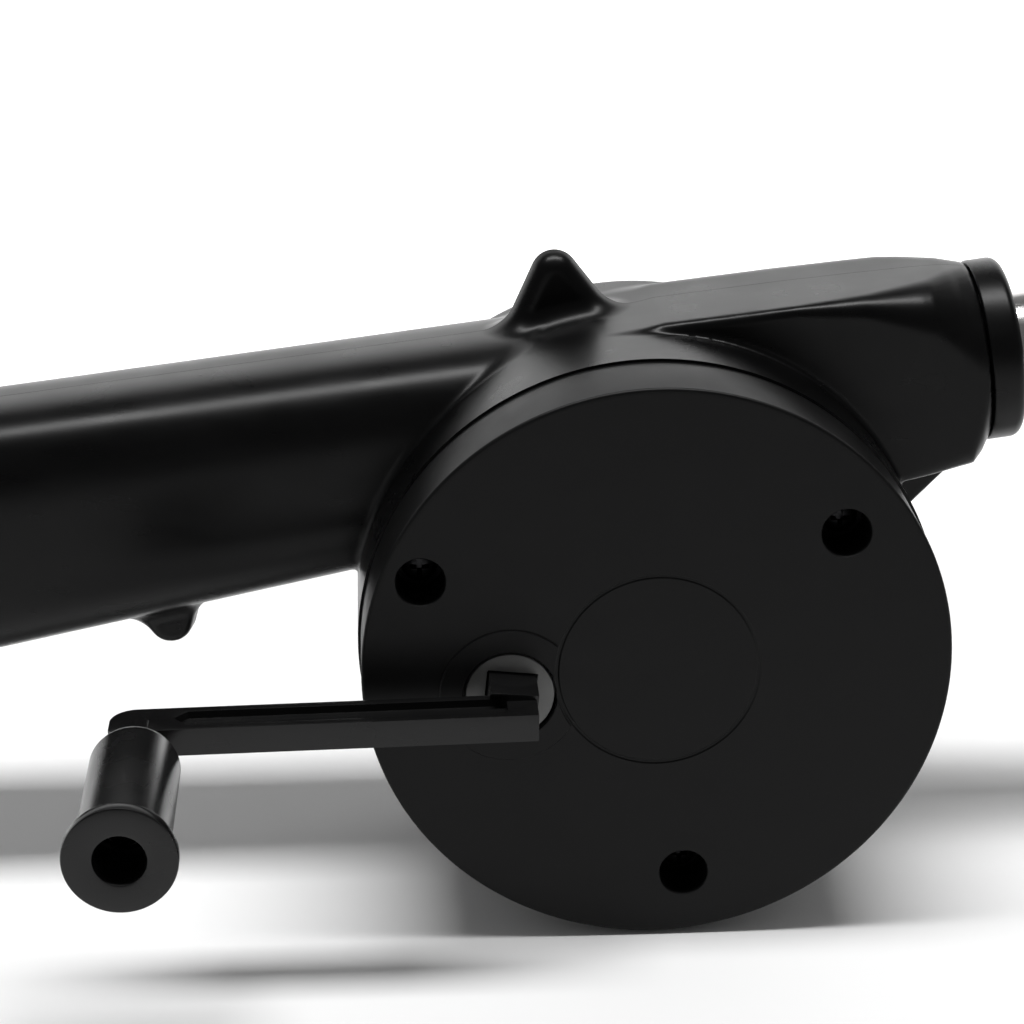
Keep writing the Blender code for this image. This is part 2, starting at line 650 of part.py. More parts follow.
def arm_outline():
    """The arm seen from above, as (x, y): flush at the hub, rounded at the grip's corner."""
    left = GRIP_X - 5.0
    corner = 4.4
    rounded = arc((left + corner, ARM_REAR_Y - corner), corner, 180.0, 90.0, 7)
    return rounded + [(ARM_HUB_END[0], ARM_REAR_Y), (ARM_HUB_END[0], ARM_FRONT_Y),
                      (left + 0.8, ARM_FRONT_Y), (left, ARM_FRONT_Y + 0.8)]


def arm_slab(plan, low, high):
    """A solid on an XY plan, between two heights over the arm's sloping centreline."""
    slope = (GRIP_Z - ARM_HUB_END[1]) / (GRIP_X - ARM_HUB_END[0])
    rings = []
    for height in (low, high):
        rings.append([(x, y, ARM_HUB_END[1] + slope * (x - ARM_HUB_END[0]) + height) for x, y in plan])
    return loft_mesh(rings)


def arm_groove_meshes():
    """Lightening grooves in the arm's upper and lower faces, which leave it an H section."""
    rear, front = ARM_REAR_Y - ARM_RIB, ARM_FRONT_Y + ARM_RIB
    plan = [(-26.0, rear - 0.6), (-26.0, front + 0.6), (-26.8, front), (-78.5, front), (-80.5, front + 2.6),
            (-80.5, rear - 2.2), (-78.5, rear), (-26.8, rear)]
    floor, clear = ARM_HALF_HEIGHT - ARM_GROOVE_DEPTH, ARM_HALF_HEIGHT + 1.0
    return [arm_slab(plan, floor, clear), arm_slab(plan, -clear, -floor)]


def make_crank_arm():
    """Arm, square peg and grip spindle, moulded in one."""
    pivot = (CRANK_X, 0.0, CRANK_Z)
    bar = arm_slab(arm_outline(), -ARM_HALF_HEIGHT, ARM_HALF_HEIGHT)
    arm = finish_mesh("crank_arm", bar, CRANK_PLASTIC, pivot)
    peg = prism_mesh(square(CRANK_CENTRE, PEG_SIDE, PEG_TURN), ARM_REAR_Y - 2.6, PEG_END_Y)
    root_y, collar_y = ARM_FRONT_Y + 4.0, GRIP_REAR_Y + GAP
    spindle = [(0.0, root_y), (SPINDLE_R, root_y), (SPINDLE_R, collar_y + 1.2),
               (SPINDLE_COLLAR_R, collar_y + 0.9), (SPINDLE_COLLAR_R, collar_y), (SPINDLE_R, collar_y),
               (SPINDLE_R, SPINDLE_END_Y), (0.0, SPINDLE_END_Y)]
    join(arm, peg, turned_mesh(spindle, GRIP_CENTRE, 28, closed=False))
    cut(arm, *arm_groove_meshes())
    cut(arm, rod_mesh(GRIP_CENTRE, PILOT_R, SPINDLE_END_Y - 2.0, SPINDLE_END_Y + 12.0, 16))
    return smooth(arm)


def make_crank_grip():
    """Spool that turns on the spindle: a cone at its rear, a barrel and a flange."""
    front, rear = GRIP_FRONT_Y, GRIP_REAR_Y
    seat = SPINDLE_END_Y + 0.6
    cone = [(GRIP_BORE_R, rear), (4.0, rear), (5.4, rear - 1.3), (GRIP_R - 0.7, rear - 2.6),
            (GRIP_R, rear - 4.2)]
    flange = [(GRIP_R, front + 3.0), (GRIP_R + 0.6, front + 2.2), (GRIP_FLANGE_R - 0.3, front + 2.2),
              (GRIP_FLANGE_R, front + 1.9), (GRIP_FLANGE_R, front + 0.3), (GRIP_FLANGE_R - 0.3, front)]
    hollow = [(GRIP_COUNTERBORE_R + 0.5, front), (GRIP_COUNTERBORE_R, front + 0.5),
              (GRIP_COUNTERBORE_R, seat), (GRIP_BORE_R, seat)]
    profile = cone + flange + hollow
    pivot = (GRIP_X, 0.0, GRIP_Z)
    return smooth(finish_mesh("crank_grip", turned_mesh(profile, GRIP_CENTRE, 28), CRANK_PLASTIC, pivot))


def make_grip_fasteners():
    """Washer and screw that keep the grip on its spindle, both carried by the crank."""
    pivot = (CRANK_X, 0.0, CRANK_Z)
    rear, front = SPINDLE_END_Y - GAP, SPINDLE_END_Y - GAP - 0.8
    washer = [(CLEARANCE_R, rear), (3.5, rear), (3.5, front), (CLEARANCE_R, front)]
    smooth(finish_mesh("grip_washer", turned_mesh(washer, GRIP_CENTRE, 24), STEEL, pivot))
    seat = front - GAP
    make_screw("grip_screw", GRIP_CENTRE, 3.0, (seat, seat - 2.0), SPINDLE_END_Y + 10.0, pivot)


# ---------------------------------------------------------------- gears, shaft and fan

def make_crank_gear():
    """Crank wheel: a long hub with the square socket, a web and a toothed rim."""
    pivot = (CRANK_X, 0.0, CRANK_Z)
    outline = gear_outline(WHEEL_TEETH, FIRST_MODULE, CRANK_CENTRE, 0.0, 2)
    gear = finish_mesh("crank_gear", prism_mesh(outline, *WHEEL_Y), NYLON, pivot)
    hub_end = DRUM_FRONT_Y - 0.6
    hub = turned_mesh([(0.0, 0.0), (HUB_R - 0.3, 0.0), (HUB_R, 0.3), (HUB_R, hub_end), (0.0, hub_end)],
                      CRANK_CENTRE, 32, closed=False)
    join(gear, hub)
    for start, end in ((WHEEL_Y[0] - 1.0, WHEEL_Y[0] + 1.2), (WHEEL_Y[1] - 1.2, WHEEL_Y[1] + 1.0)):
        cut(gear, turned_mesh([(9.4, start), (16.4, start), (16.4, end), (9.4, end)], CRANK_CENTRE, 32))
    cut(gear, prism_mesh(square(CRANK_CENTRE, SOCKET_SIDE, PEG_TURN), -1.0, PEG_END_Y + 0.4),
        rod_mesh(CRANK_CENTRE, STUB_R + GAP, STUB_END_Y - GAP, hub_end + 1.0, 24))
    return smooth(gear, 25.0)


def make_idler_gear():
    """Compound gear: a small pinion driven by the crank wheel, and a wheel that drives the fan."""
    pivot = (IDLER_CENTRE[0], 0.0, IDLER_CENTRE[1])
    pinion_angle = meshing_angle(CRANK_CENTRE, WHEEL_TEETH, 0.0, IDLER_CENTRE, IDLER_PINION_TEETH)
    pinion = gear_outline(IDLER_PINION_TEETH, FIRST_MODULE, IDLER_CENTRE, pinion_angle, 3)
    wheel = gear_outline(IDLER_WHEEL_TEETH, SECOND_MODULE, IDLER_CENTRE, 0.0, 2)
    gear = finish_mesh("idler_gear", prism_mesh(wheel, *IDLER_WHEEL_Y), GEAR_RESIN, pivot)
    rear = IDLER_WHEEL_Y[1]
    join(gear, prism_mesh(pinion, IDLER_PINION_Y[0], IDLER_WHEEL_Y[0] + 1.0),
         rod_mesh(IDLER_CENTRE, 3.4, rear - 1.0, 17.1, 24))
    recess = [(5.8, rear - 1.4), (11.8, rear - 1.4), (11.8, rear + 1.0), (5.8, rear + 1.0)]
    cut(gear, turned_mesh(recess, IDLER_CENTRE, 32), rod_mesh(IDLER_CENTRE, IDLER_PIN_R + GAP, 0.0, 25.0, 20))
    return smooth(gear, 25.0)


def make_fan_pinion():
    angle = meshing_angle(IDLER_CENTRE, IDLER_WHEEL_TEETH, 0.0, SHAFT_CENTRE, FAN_PINION_TEETH)
    outline = gear_outline(FAN_PINION_TEETH, SECOND_MODULE, SHAFT_CENTRE, angle, 3)
    pinion = finish_mesh("fan_pinion", prism_mesh(outline, *FAN_PINION_Y), BRASS)
    join(pinion, rod_mesh(SHAFT_CENTRE, 3.4, FAN_PINION_Y[1] - 0.2, 18.6, 24))
    return smooth(cut(pinion, rod_mesh(SHAFT_CENTRE, SHAFT_BORE_R, 0.0, 30.0, 20)), 25.0)


def pin_profile(radius, y_start, y_end, edge=0.3):
    return [(0.0, y_start), (radius - edge, y_start), (radius, y_start + edge),
            (radius, y_end - edge), (radius - edge, y_end), (0.0, y_end)]


def make_pins():
    """Idler pin and fan shaft."""
    pin = turned_mesh(pin_profile(IDLER_PIN_R, 1.7, DIVIDER_Y - 1.2), IDLER_CENTRE, 20, closed=False)
    smooth(finish_mesh("idler_pin", pin, STEEL))
    shaft = turned_mesh(pin_profile(SHAFT_R, *SHAFT_Y), SHAFT_CENTRE, 20, closed=False)
    smooth(finish_mesh("fan_shaft", shaft, STEEL))


def make_bushes():
    """Flanged bush in the divider wall, and a plain one in the rear boss."""
    flange_y = DIVIDER_Y + GAP
    front = [(SHAFT_BORE_R, 19.6), (BUSH_R, 19.6), (BUSH_R, flange_y), (5.6, flange_y),
             (5.6, flange_y + 1.2), (SHAFT_BORE_R, flange_y + 1.2)]
    smooth(finish_mesh("front_bush", turned_mesh(front, steps=28), BRASS))
    rear = [(SHAFT_BORE_R, 53.6), (BUSH_R, 53.6), (BUSH_R, 60.0), (SHAFT_BORE_R, 60.0)]
    smooth(finish_mesh("rear_bush", turned_mesh(rear, steps=28), BRASS))


def blade_outline(index):
    """A curved blade from the hub to the rim, leaning back from the turn."""
    start = 360.0 * index / BLADES
    thickness = 1.5
    stations = [(8.0, 0.0), (15.0, -4.0), (22.0, -10.0), (28.5, -17.5), (IMPELLER_R - 0.4, -26.0)]
    near = [polar(radius, start + lean) for radius, lean in stations]
    far = [polar(radius, start + lean + math.degrees(thickness / radius)) for radius, lean in stations]
    return near + far[::-1]


def make_impeller():
    """Centrifugal fan wheel: back plate, hub and curved blades, open to the intake."""
    front, rear = IMPELLER_Y
    profile = [(SHAFT_BORE_R, front), (IMPELLER_R, front), (IMPELLER_R, front + 1.8), (9.0, front + 1.8),
               (7.0, front + 4.0), (6.6, rear), (SHAFT_BORE_R, rear)]
    fan = finish_mesh("fan_impeller", turned_mesh(profile, steps=48), BLACK_PLASTIC)
    blades = [prism_mesh(blade_outline(index), front + 1.0, rear - 1.0) for index in range(BLADES)]
    blade_tops = [(16.0, rear - 6.0), (40.0, rear - 0.5), (40.0, rear + 4.0), (16.0, rear + 4.0)]
    join(fan, *blades)
    cut(fan, turned_mesh(blade_tops, steps=48))
    return smooth(fan)


def make_shaft_clip():
    """Push-on clip that holds the impeller on its shaft."""
    y0 = IMPELLER_Y[1] + GAP
    outline = arc(SHAFT_CENTRE, 3.6, 20.0, 340.0, 20) + arc(SHAFT_CENTRE, SHAFT_BORE_R, 335.0, 25.0, 16)
    return smooth(finish_mesh("shaft_clip", prism_mesh(outline, y0, y0 + 0.8), STEEL))


# ---------------------------------------------------------------- the blower

def main():
    for old in list(bpy.data.objects):
        bpy.data.objects.remove(old)
    make_front_cover()
    make_cover_screws()
    make_front_casing()
    make_rear_casing()
    make_casing_screws()
    make_outlet_collar()
    make_air_tube()
    make_crank_arm()
    make_crank_grip()
    make_grip_fasteners()
    make_crank_gear()
    make_idler_gear()
    make_fan_pinion()
    make_pins()
    make_bushes()
    make_impeller()
    make_shaft_clip()


main()
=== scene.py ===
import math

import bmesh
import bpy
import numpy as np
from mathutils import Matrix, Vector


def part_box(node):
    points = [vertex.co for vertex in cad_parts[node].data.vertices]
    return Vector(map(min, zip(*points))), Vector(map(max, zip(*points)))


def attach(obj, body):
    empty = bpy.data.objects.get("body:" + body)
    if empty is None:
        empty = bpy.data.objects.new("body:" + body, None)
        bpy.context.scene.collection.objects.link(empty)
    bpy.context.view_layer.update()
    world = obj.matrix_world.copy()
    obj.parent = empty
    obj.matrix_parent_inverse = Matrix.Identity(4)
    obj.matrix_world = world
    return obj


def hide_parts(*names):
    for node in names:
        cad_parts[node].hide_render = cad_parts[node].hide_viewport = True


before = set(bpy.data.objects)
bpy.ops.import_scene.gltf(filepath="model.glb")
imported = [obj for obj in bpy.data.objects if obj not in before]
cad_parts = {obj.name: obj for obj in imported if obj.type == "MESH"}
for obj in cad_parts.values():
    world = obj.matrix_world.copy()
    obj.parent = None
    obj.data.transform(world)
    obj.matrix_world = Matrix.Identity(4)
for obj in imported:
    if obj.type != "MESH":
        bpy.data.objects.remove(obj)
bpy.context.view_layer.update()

# Looks of the hand-crank air blower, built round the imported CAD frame.
#
# Lengths are in millimetres and become metres when a mesh is made. The origin is the centre of the
# cover's front face: +X points to the air tube, +Y to the rear and +Z up. Every visible moulding is
# made again here as a finer mesh, in the place that its CAD node holds.

MM = 0.001


def span(node, axis):
    """Lowest and highest coordinate of a CAD node along one axis, in millimetres."""
    low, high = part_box(node)
    return low[axis] / MM, high[axis] / MM


def middle(node):
    """Centre (x, z) of a CAD node's box, in millimetres."""
    return tuple(sum(span(node, axis)) / 2.0 for axis in (0, 2))


# Cover and drum
COVER_R = span("front_cover", 0)[1]
COVER_REAR = span("front_cover", 1)[1]
COVER_WALL = 2.2
COVER_EDGE = 0.55
MEDALLION_R = 17.1
HUB_OPENING_R = 7.9
HUB_RING_R = 11.9
HUB_RING_HEIGHT = 0.4
COUNTERBORE_R = 4.15
BOSS_R = 5.3
SCREW_SEAT = 9.4
SCREW_HOLE_R = 1.8
SCREW_WELL_R = 3.4
SHANK_R = 1.25
DRUM_FRONT, DRUM_REAR = span("front_casing", 1)[0], span("rear_casing", 1)[1]
DRUM_R = COVER_R + 0.5
DRUM_EDGE = 3.0
DRUM_WALL, BACK_WALL = 2.6, 2.4
DIVIDER = DRUM_FRONT + 2.4
GRILLE_SLOTS = 12
SLOT_REACH = (28.0, 13.0)
SLOT_HALF = 2.2
SPARE = 2.0  # how far the drum's skin runs past its front face before it is trimmed
SEAM = 0.08
PARTING = sum(span("outlet_collar", 1)) / 2.0

# Handle
BUTT_X = span("rear_casing", 0)[0]
HANDLE_ROOT_X = -26.0
HANDLE_ROOT_Z = 28.0
HANDLE_SLOPE = 0.1715
HANDLE_HALF = 18.5
HANDLE_GROWTH = 0.0465
HANDLE_DEPTH = 18.0
HANDLE_SQUARENESS = 3.0
HANDLE_OVERLAP = 8.0
BUTT_ROUNDING = 12.0

# Screw lugs on the parting plane
LUG_DEPTH = 3.5
LUG_DRAFT = 0.8
EAR = dict(tip=(-14.8, 56.8), tip_r=3.4, base=(-12.4, 37.0), base_r=13.6, front_depth=LUG_DEPTH,
           rounding=2.4)
HANDLE_LUG = dict(tip=(-84.6, -6.8), tip_r=3.7, base=(-86.6, 3.0), base_r=8.2, front_depth=5.0,
                  rounding=1.4)
WEB_PLANES = (((45.4, 8.3), (0.724, -0.690)), ((57.4, 20.9), (0.937, 0.350)))  # point and normal
WEB_START, WEB_TOP = 44.0, 30.0

# Outlet: its axis lies in the parting plane and rises towards the tube's end.
# Places along the axis are counted so that they equal X at the pivot.
OUTLET_PIVOT = (61.0, 41.15)
OUTLET_RISE = math.radians(7.7)
OUTLET_END = 60.6
CHEEK_Y, OUTLET_REAR = 28.0, 62.0
NECK_R = 14.6
COLLAR_R = span("outlet_collar", 1)[1] - PARTING
COLLAR_SPAN = (60.9, 66.8)
TUBE_R = span("air_tube", 1)[1] - PARTING
TUBE_WALL = 0.8
TUBE_SPAN = (51.0, 165.0)

# Crank
CRANK = middle("crank_gear")
GRIP = middle("crank_grip")
HUB_R = 7.5
GEAR_R = 19.7
GEAR_FACES = (4.2, 9.0)
GEAR_TEETH = 48
SOCKET_SIDE, PEG_SIDE = 8.6, 8.0
PEG_TURN = math.radians(-6.0)
ARM_REAR, ARM_FRONT = -5.6, -14.0
ARM_HALF = 2.35
ARM_HUB_END = (-21.0, -3.5)
ARM_RIB = 1.6
ARM_GROOVE = (-26.0, -80.5)
GRIP_FRONT, GRIP_REAR = span("crank_grip", 1)
GRIP_R = 7.3
GRIP_FLANGE_R = 8.85
GRIP_HOLE_R = 3.96
SPINDLE_R = 2.8
SPINDLE_END = -41.0

# Camera and light, in metres, degrees and watts
CAMERA_LENS = 94.92
CAMERA_PLACE = (-0.0474, -0.4128, 0.1883)
CAMERA_DOWN, CAMERA_TURN = 21.06, -3.15
KEY_PLACE, KEY_TARGET = (0.0, -0.02, 1.0), (0.0, 0.04, 0.0)
KEY_SIZE, KEY_POWER = (1.0, 0.22), 12.5
WORLD_LIGHT = 0.12
GLOW = 0.8
GLOW_BEHIND = (0.16, 0.50)  # Y over which the backdrop's glow comes up
GLOW_BELOW = (0.60, 1.05)  # Z over which it fades again


# ---------------------------------------------------------------- mesh helpers

def make_object(name, bm):
    """An object from a mesh in millimetres."""
    bmesh.ops.scale(bm, verts=bm.verts, vec=(MM, MM, MM))
    bmesh.ops.remove_doubles(bm, verts=bm.verts, dist=1e-7)
    bmesh.ops.recalc_face_normals(bm, faces=bm.faces)
    mesh = bpy.data.meshes.new(name)
    bm.to_mesh(mesh)
    bm.free()
    made = bpy.data.objects.new(name, mesh)
    bpy.context.scene.collection.objects.link(made)
    return made


def apply_modifiers(target):
    graph = bpy.context.evaluated_depsgraph_get()
    result = bpy.data.meshes.new_from_object(target.evaluated_get(graph))
    target.modifiers.clear()
    target.data = result
    return target


def boolean(target, operation, *meshes):
    """Join closed meshes to target, or cut them from it."""
    for bm in meshes:
        other = make_object("tool", bm)
        step = target.modifiers.new("shape", "BOOLEAN")
        step.operation = operation
        step.solver = "MANIFOLD"
        step.object = other
        apply_modifiers(target)
        bpy.data.objects.remove(other)
    return target


def join(target, *meshes):
    return boolean(target, "UNION", *meshes)


def cut(target, *meshes):
    return boolean(target, "DIFFERENCE", *meshes)


def soften(target, width, angle=40.0, segments=3):
    """Round every edge sharper than angle."""
    step = target.modifiers.new("edges", "BEVEL")
    step.width = width * MM
    step.segments = segments
    step.limit_method = "ANGLE"
    step.angle_limit = math.radians(angle)
    step.use_clamp_overlap = True
    step.harden_normals = False
    return apply_modifiers(target)


def shade(target, angle=30.0):
    target.data.shade_smooth()
    target.data.set_sharp_from_angle(angle=math.radians(angle))
    return target


def prism(outline, y_start, y_end):
    """A solid whose XZ outline runs from y_start to y_end."""
    bm = bmesh.new()
    base = bm.faces.new([bm.verts.new((x, y_start, z)) for x, z in outline])
    grown = bmesh.ops.extrude_face_region(bm, geom=[base])
    moved = [item for item in grown["geom"] if isinstance(item, bmesh.types.BMVert)]
    bmesh.ops.translate(bm, verts=moved, vec=(0.0, y_end - y_start, 0.0))
    return bm


def lathe(profile, centre=(0.0, 0.0), steps=96, closed=True):
    """Spin a profile of (radius, y) points about a line along Y."""
    bm = bmesh.new()
    points = [bm.verts.new((centre[0] + radius, y, centre[1])) for radius, y in profile]
    edges = [bm.edges.new(pair) for pair in zip(points, points[1:])]
    if closed:
        edges.append(bm.edges.new((points[-1], points[0])))
    bmesh.ops.spin(bm, geom=points + edges, cent=(centre[0], 0.0, centre[1]), axis=(0.0, 1.0, 0.0),
                   angle=math.tau, steps=steps, use_merge=True)
    bmesh.ops.remove_doubles(bm, verts=bm.verts, dist=1e-4)
    return bm


def on_outlet_axis(place, y, height):
    """Point at a place along the outlet's axis and a height across it."""
    run, rise = math.cos(OUTLET_RISE), math.sin(OUTLET_RISE)
    along = place - OUTLET_PIVOT[0]
    return OUTLET_PIVOT[0] + along * run - height * rise, y, OUTLET_PIVOT[1] + along * rise + height * run


def lathe_outlet(profile, steps=96, closed=True):
    """Spin a profile of (radius, place) points about the outlet's axis."""
    bm = lathe(profile, steps=steps, closed=closed)
    for vert in bm.verts:
        vert.co = on_outlet_axis(vert.co.y, PARTING + vert.co.z, vert.co.x)
    return bm


def rod(centre, radius, y_start, y_end, steps=48):
    """A plain cylinder along Y."""
    profile = [(0.0, y_start), (radius, y_start), (radius, y_end), (0.0, y_end)]
    return lathe(profile, centre, steps, closed=False)


def loft(rings):
    """Skin closed rings of equal length, and cap both ends."""
    bm = bmesh.new()
    rows = [[bm.verts.new(point) for point in ring] for ring in rings]
    for near, far in zip(rows, rows[1:]):
        for i in range(len(near)):
            j = (i + 1) % len(near)
            bm.faces.new((near[i], near[j], far[j], far[i]))
    bm.faces.new(rows[0])
    bm.faces.new(rows[-1])
    return bm


def polar(radius, degrees, centre=(0.0, 0.0)):
    angle = math.radians(degrees)
    return centre[0] + radius * math.cos(angle), centre[1] + radius * math.sin(angle)


def arc(centre, radius, start, end, count):
    return [polar(radius, start + (end - start) * i / (count - 1), centre) for i in range(count)]


def square(centre, side, turn):
    return arc(centre, side / math.sqrt(2.0), math.degrees(turn) + 45.0, math.degrees(turn) + 315.0, 4)


# ---------------------------------------------------------------- casing as a field of distances

def round_join(a, b, radius):
    """Union of two fields, with a fillet of that radius in the corner between them."""
    corner = np.hypot(np.maximum(radius - a, 0.0), np.maximum(radius - b, 0.0))
    return np.maximum(radius, np.minimum(a, b)) - corner


def round_meet(a, b, radius):
    """Intersection of two fields, with its edge rounded to that radius."""
    return -round_join(-a, -b, radius)


def drum_field(x, y, z):
    radial = np.hypot(x, z) - DRUM_R
    body = round_meet(radial, y - DRUM_REAR, DRUM_EDGE)
    return np.maximum(body, DRUM_FRONT - SPARE - y)


def handle_field(x, y, z):
    """Oval bar that drops and grows towards the butt."""
    drop = HANDLE_ROOT_X - x
    half = HANDLE_HALF + HANDLE_GROWTH * drop
    u = np.abs(y - PARTING) / HANDLE_DEPTH
    v = np.abs(z - (HANDLE_ROOT_Z - HANDLE_SLOPE * drop)) / half
    n = HANDLE_SQUARENESS
    size = np.maximum((u ** n + v ** n) ** (1.0 / n), 0.05)
    steepness = np.hypot((u / size) ** (n - 1.0) / HANDLE_DEPTH, (v / size) ** (n - 1.0) / half)
    section = (size - 1.0) / np.maximum(steepness, 1.0 / 40.0)
    bar = round_meet(section, BUTT_X - x, BUTT_ROUNDING)
    return np.maximum(bar, x - HANDLE_ROOT_X - HANDLE_OVERLAP)


def outlet_place(x, z):
    """Place along the outlet's axis and height across it."""
    run, rise = math.cos(OUTLET_RISE), math.sin(OUTLET_RISE)
    dx, dz = x - OUTLET_PIVOT[0], z - OUTLET_PIVOT[1]
    return OUTLET_PIVOT[0] + dx * run + dz * rise, dz * run - dx * rise


def outlet_field(x, y, z):
    """Box with a flat cheek that turns round towards the collar."""
    place, height = outlet_place(x, z)
    end_r = COLLAR_R - 0.2
    top = np.interp(place, (-6.0, 5.0, 28.0, 40.0, 50.0, 56.0, OUTLET_END),
                    (17.2, 18.5, 18.1, 17.7, 17.3, 16.9, end_r))
    bottom = -np.interp(place, (20.0, 44.0, 52.0, OUTLET_END), (18.0, 16.8, 16.3, end_r))
    front = np.interp(place, (50.0, OUTLET_END), (CHEEK_Y, PARTING - end_r))
    rear = np.interp(place, (50.0, OUTLET_END), (OUTLET_REAR, PARTING + end_r))
    front_top = np.interp(place, (28.0, 40.0, 52.0, 57.6, OUTLET_END), (1.5, 3.5, 8.5, 14.2, end_r))
    front_bottom = np.interp(place, (44.0, 48.0, 56.5, 58.6, OUTLET_END), (1.5, 2.0, 3.7, 9.0, end_r))
    back = np.interp(place, (46.0, OUTLET_END), (10.0, end_r))
    mid_y, mid_h = (front + rear) / 2.0, (top + bottom) / 2.0
    radius = np.where(y < mid_y, np.where(height > mid_h, front_top, front_bottom), back)
    out_y = np.abs(y - mid_y) - (rear - front) / 2.0 + radius
    out_h = np.abs(height - mid_h) - (top - bottom) / 2.0 + radius
    inside = np.minimum(np.maximum(out_y, out_h), 0.0)
    outside = np.hypot(np.maximum(out_y, 0.0), np.maximum(out_h, 0.0))
    body = round_meet(inside + outside - radius, place - OUTLET_END, 0.5)
    return np.maximum(body, -6.0 - x)


def neck_field(x, y, z):
    place, height = outlet_place(x, z)
    radial = np.hypot(y - PARTING, height) - NECK_R
    return np.maximum(radial, np.maximum(OUTLET_END - 4.0 - place, place - (COLLAR_SPAN[1] - 2.4)))


def lug_field(x, y, z, tip, tip_r, base, base_r, front_depth, rounding):
    """Tapered lug between two circles, drafted so that it is widest at the parting plane."""
    dx, dz = tip[0] - base[0], tip[1] - base[1]
    length = math.hypot(dx, dz)
    along = ((x - base[0]) * dx + (z - base[1]) * dz) / length
    across = np.abs((x - base[0]) * dz - (z - base[1]) * dx) / length
    lean = (base_r - tip_r) / length
    upright = math.sqrt(1.0 - lean * lean)
    turned = along * upright - across * lean
    side = across * upright + along * lean - base_r
    flat = np.where(turned < 0.0, np.hypot(across, along) - base_r,
                    np.where(turned > upright * length, np.hypot(across, along - length) - tip_r, side))
    depth = np.where(y < PARTING, front_depth, LUG_DEPTH)
    off_plane = np.abs(y - PARTING)
    drafted = flat - LUG_DRAFT * np.clip(1.0 - off_plane / depth, 0.0, 1.0)
    return round_meet(drafted, off_plane - depth, rounding)


def web_field(x, y, z):
    """Corner web between the drum and the outlet's underside."""
    off_plane = np.abs(y - PARTING)
    grow = LUG_DRAFT * np.clip(1.0 - off_plane / LUG_DEPTH, 0.0, 1.0)
    under, outer = [(x - px) * nx + (z - pz) * nz - grow for (px, pz), (nx, nz) in WEB_PLANES]
    flat = np.maximum(np.maximum(under, outer), np.maximum(WEB_START - x, z - WEB_TOP))
    return round_meet(flat, off_plane - LUG_DEPTH, 0.6)


def casing_field(x, y, z):
    """The whole casing, before it is hollowed and parted."""
    body = round_join(drum_field(x, y, z), handle_field(x, y, z), 1.1)
    body = round_join(body, outlet_field(x, y, z), 0.9)
    body = round_join(body, neck_field(x, y, z), 0.3)
    body = round_join(body, lug_field(x, y, z, **EAR), 3.5)
    body = round_join(body, lug_field(x, y, z, **HANDLE_LUG), 4.0)
    return round_join(body, web_field(x, y, z), 0.4)


def skin(field, low, high, step):
    """Skin a field's zero surface with quads, one point in each grid cell that the surface crosses."""
    axes = [np.arange(a, b + step, step) for a, b in zip(low, high)]
    value = field(*np.meshgrid(*axes, indexing="ij"))
    shape = np.array(value.shape) - 1
    strides = np.array((shape[1] * shape[2], shape[2], 1))
    total, count = np.zeros((shape.prod(), 3)), np.zeros(shape.prod())
    quads = []
    for axis in range(3):
        other = [a for a in range(3) if a != axis]
        near = value[tuple(slice(0, -1) if a == axis else slice(None) for a in range(3))]
        far = value[tuple(slice(1, None) if a == axis else slice(None) for a in range(3))]
        edges = np.argwhere((near < 0.0) != (far < 0.0))
        a, b = near[tuple(edges.T)], far[tuple(edges.T)]
        points = edges.astype(float)
        points[:, axis] += a / (a - b)
        around = []
        for first, second in ((0, 0), (1, 0), (1, 1), (0, 1)):
            cell = edges.copy()
            cell[:, other[0]] -= first
            cell[:, other[1]] -= second
            index = cell @ strides
            around.append(index)
            count += np.bincount(index, minlength=len(count))
            for c in range(3):
                total[:, c] += np.bincount(index, weights=points[:, c], minlength=len(count))
        ring = np.stack(around, axis=1)
        flip = (a < 0.0) == (axis != 1)
        ring[~flip] = ring[~flip][:, ::-1]
        quads.append(ring)
    used = np.flatnonzero(count)
    number = np.full(len(count), -1)
    number[used] = np.arange(len(used))
    points = np.array(low) + step * total[used] / count[used][:, None]
    return points, number[np.concatenate(quads)]


def settle(field, points, rounds=4):
    """Pull points onto a field's zero surface."""
    nudge = 0.02
    for _ in range(rounds):
        x, y, z = points.T
        slope = np.stack([
            field(x + nudge, y, z) - field(x - nudge, y, z),
            field(x, y + nudge, z) - field(x, y - nudge, z),
            field(x, y, z + nudge) - field(x, y, z - nudge)], axis=1) / (2.0 * nudge)
        steep = np.maximum((slope ** 2).sum(axis=1), 0.25)
        move = -field(x, y, z)[:, None] * slope / steep[:, None]
        points = points + np.clip(move, -0.3, 0.3)
    return points


def casing_skin():
    step = 0.6
    margin = 2.3
    low = (BUTT_X - margin, DRUM_FRONT - SPARE - margin, -DRUM_R - margin)
    high = (COLLAR_SPAN[1] + 4.3, DRUM_REAR + margin, 64.3)
    points, quads = skin(casing_field, low, high, step)
    points = settle(casing_field, points)
    mesh = bpy.data.meshes.new("casing_skin")
    mesh.from_pydata(points.tolist(), [], quads.tolist())
    return mesh


def trim(bm, plane_y, keep_front):
    """Cut a closed mesh at a plane across Y and close it again."""
    geometry = bm.verts[:] + bm.edges[:] + bm.faces[:]
    bmesh.ops.bisect_plane(bm, geom=geometry, dist=1e-5, plane_co=(0.0, plane_y, 0.0),
                           plane_no=(0.0, 1.0, 0.0), clear_outer=keep_front, clear_inner=not keep_front)
    rim = [edge for edge in bm.edges if edge.is_boundary]
    bmesh.ops.contextual_create(bm, geom=rim)


def casing_half(whole, name, keep_front):
    """One half of the casing, cut at the parting plane."""
    bm = bmesh.new()
    bm.from_mesh(whole)
    trim(bm, PARTING + (-SEAM / 2.0 if keep_front else SEAM / 2.0), keep_front)
    if keep_front:
        trim(bm, DRUM_FRONT, False)
    return make_object(name, bm)


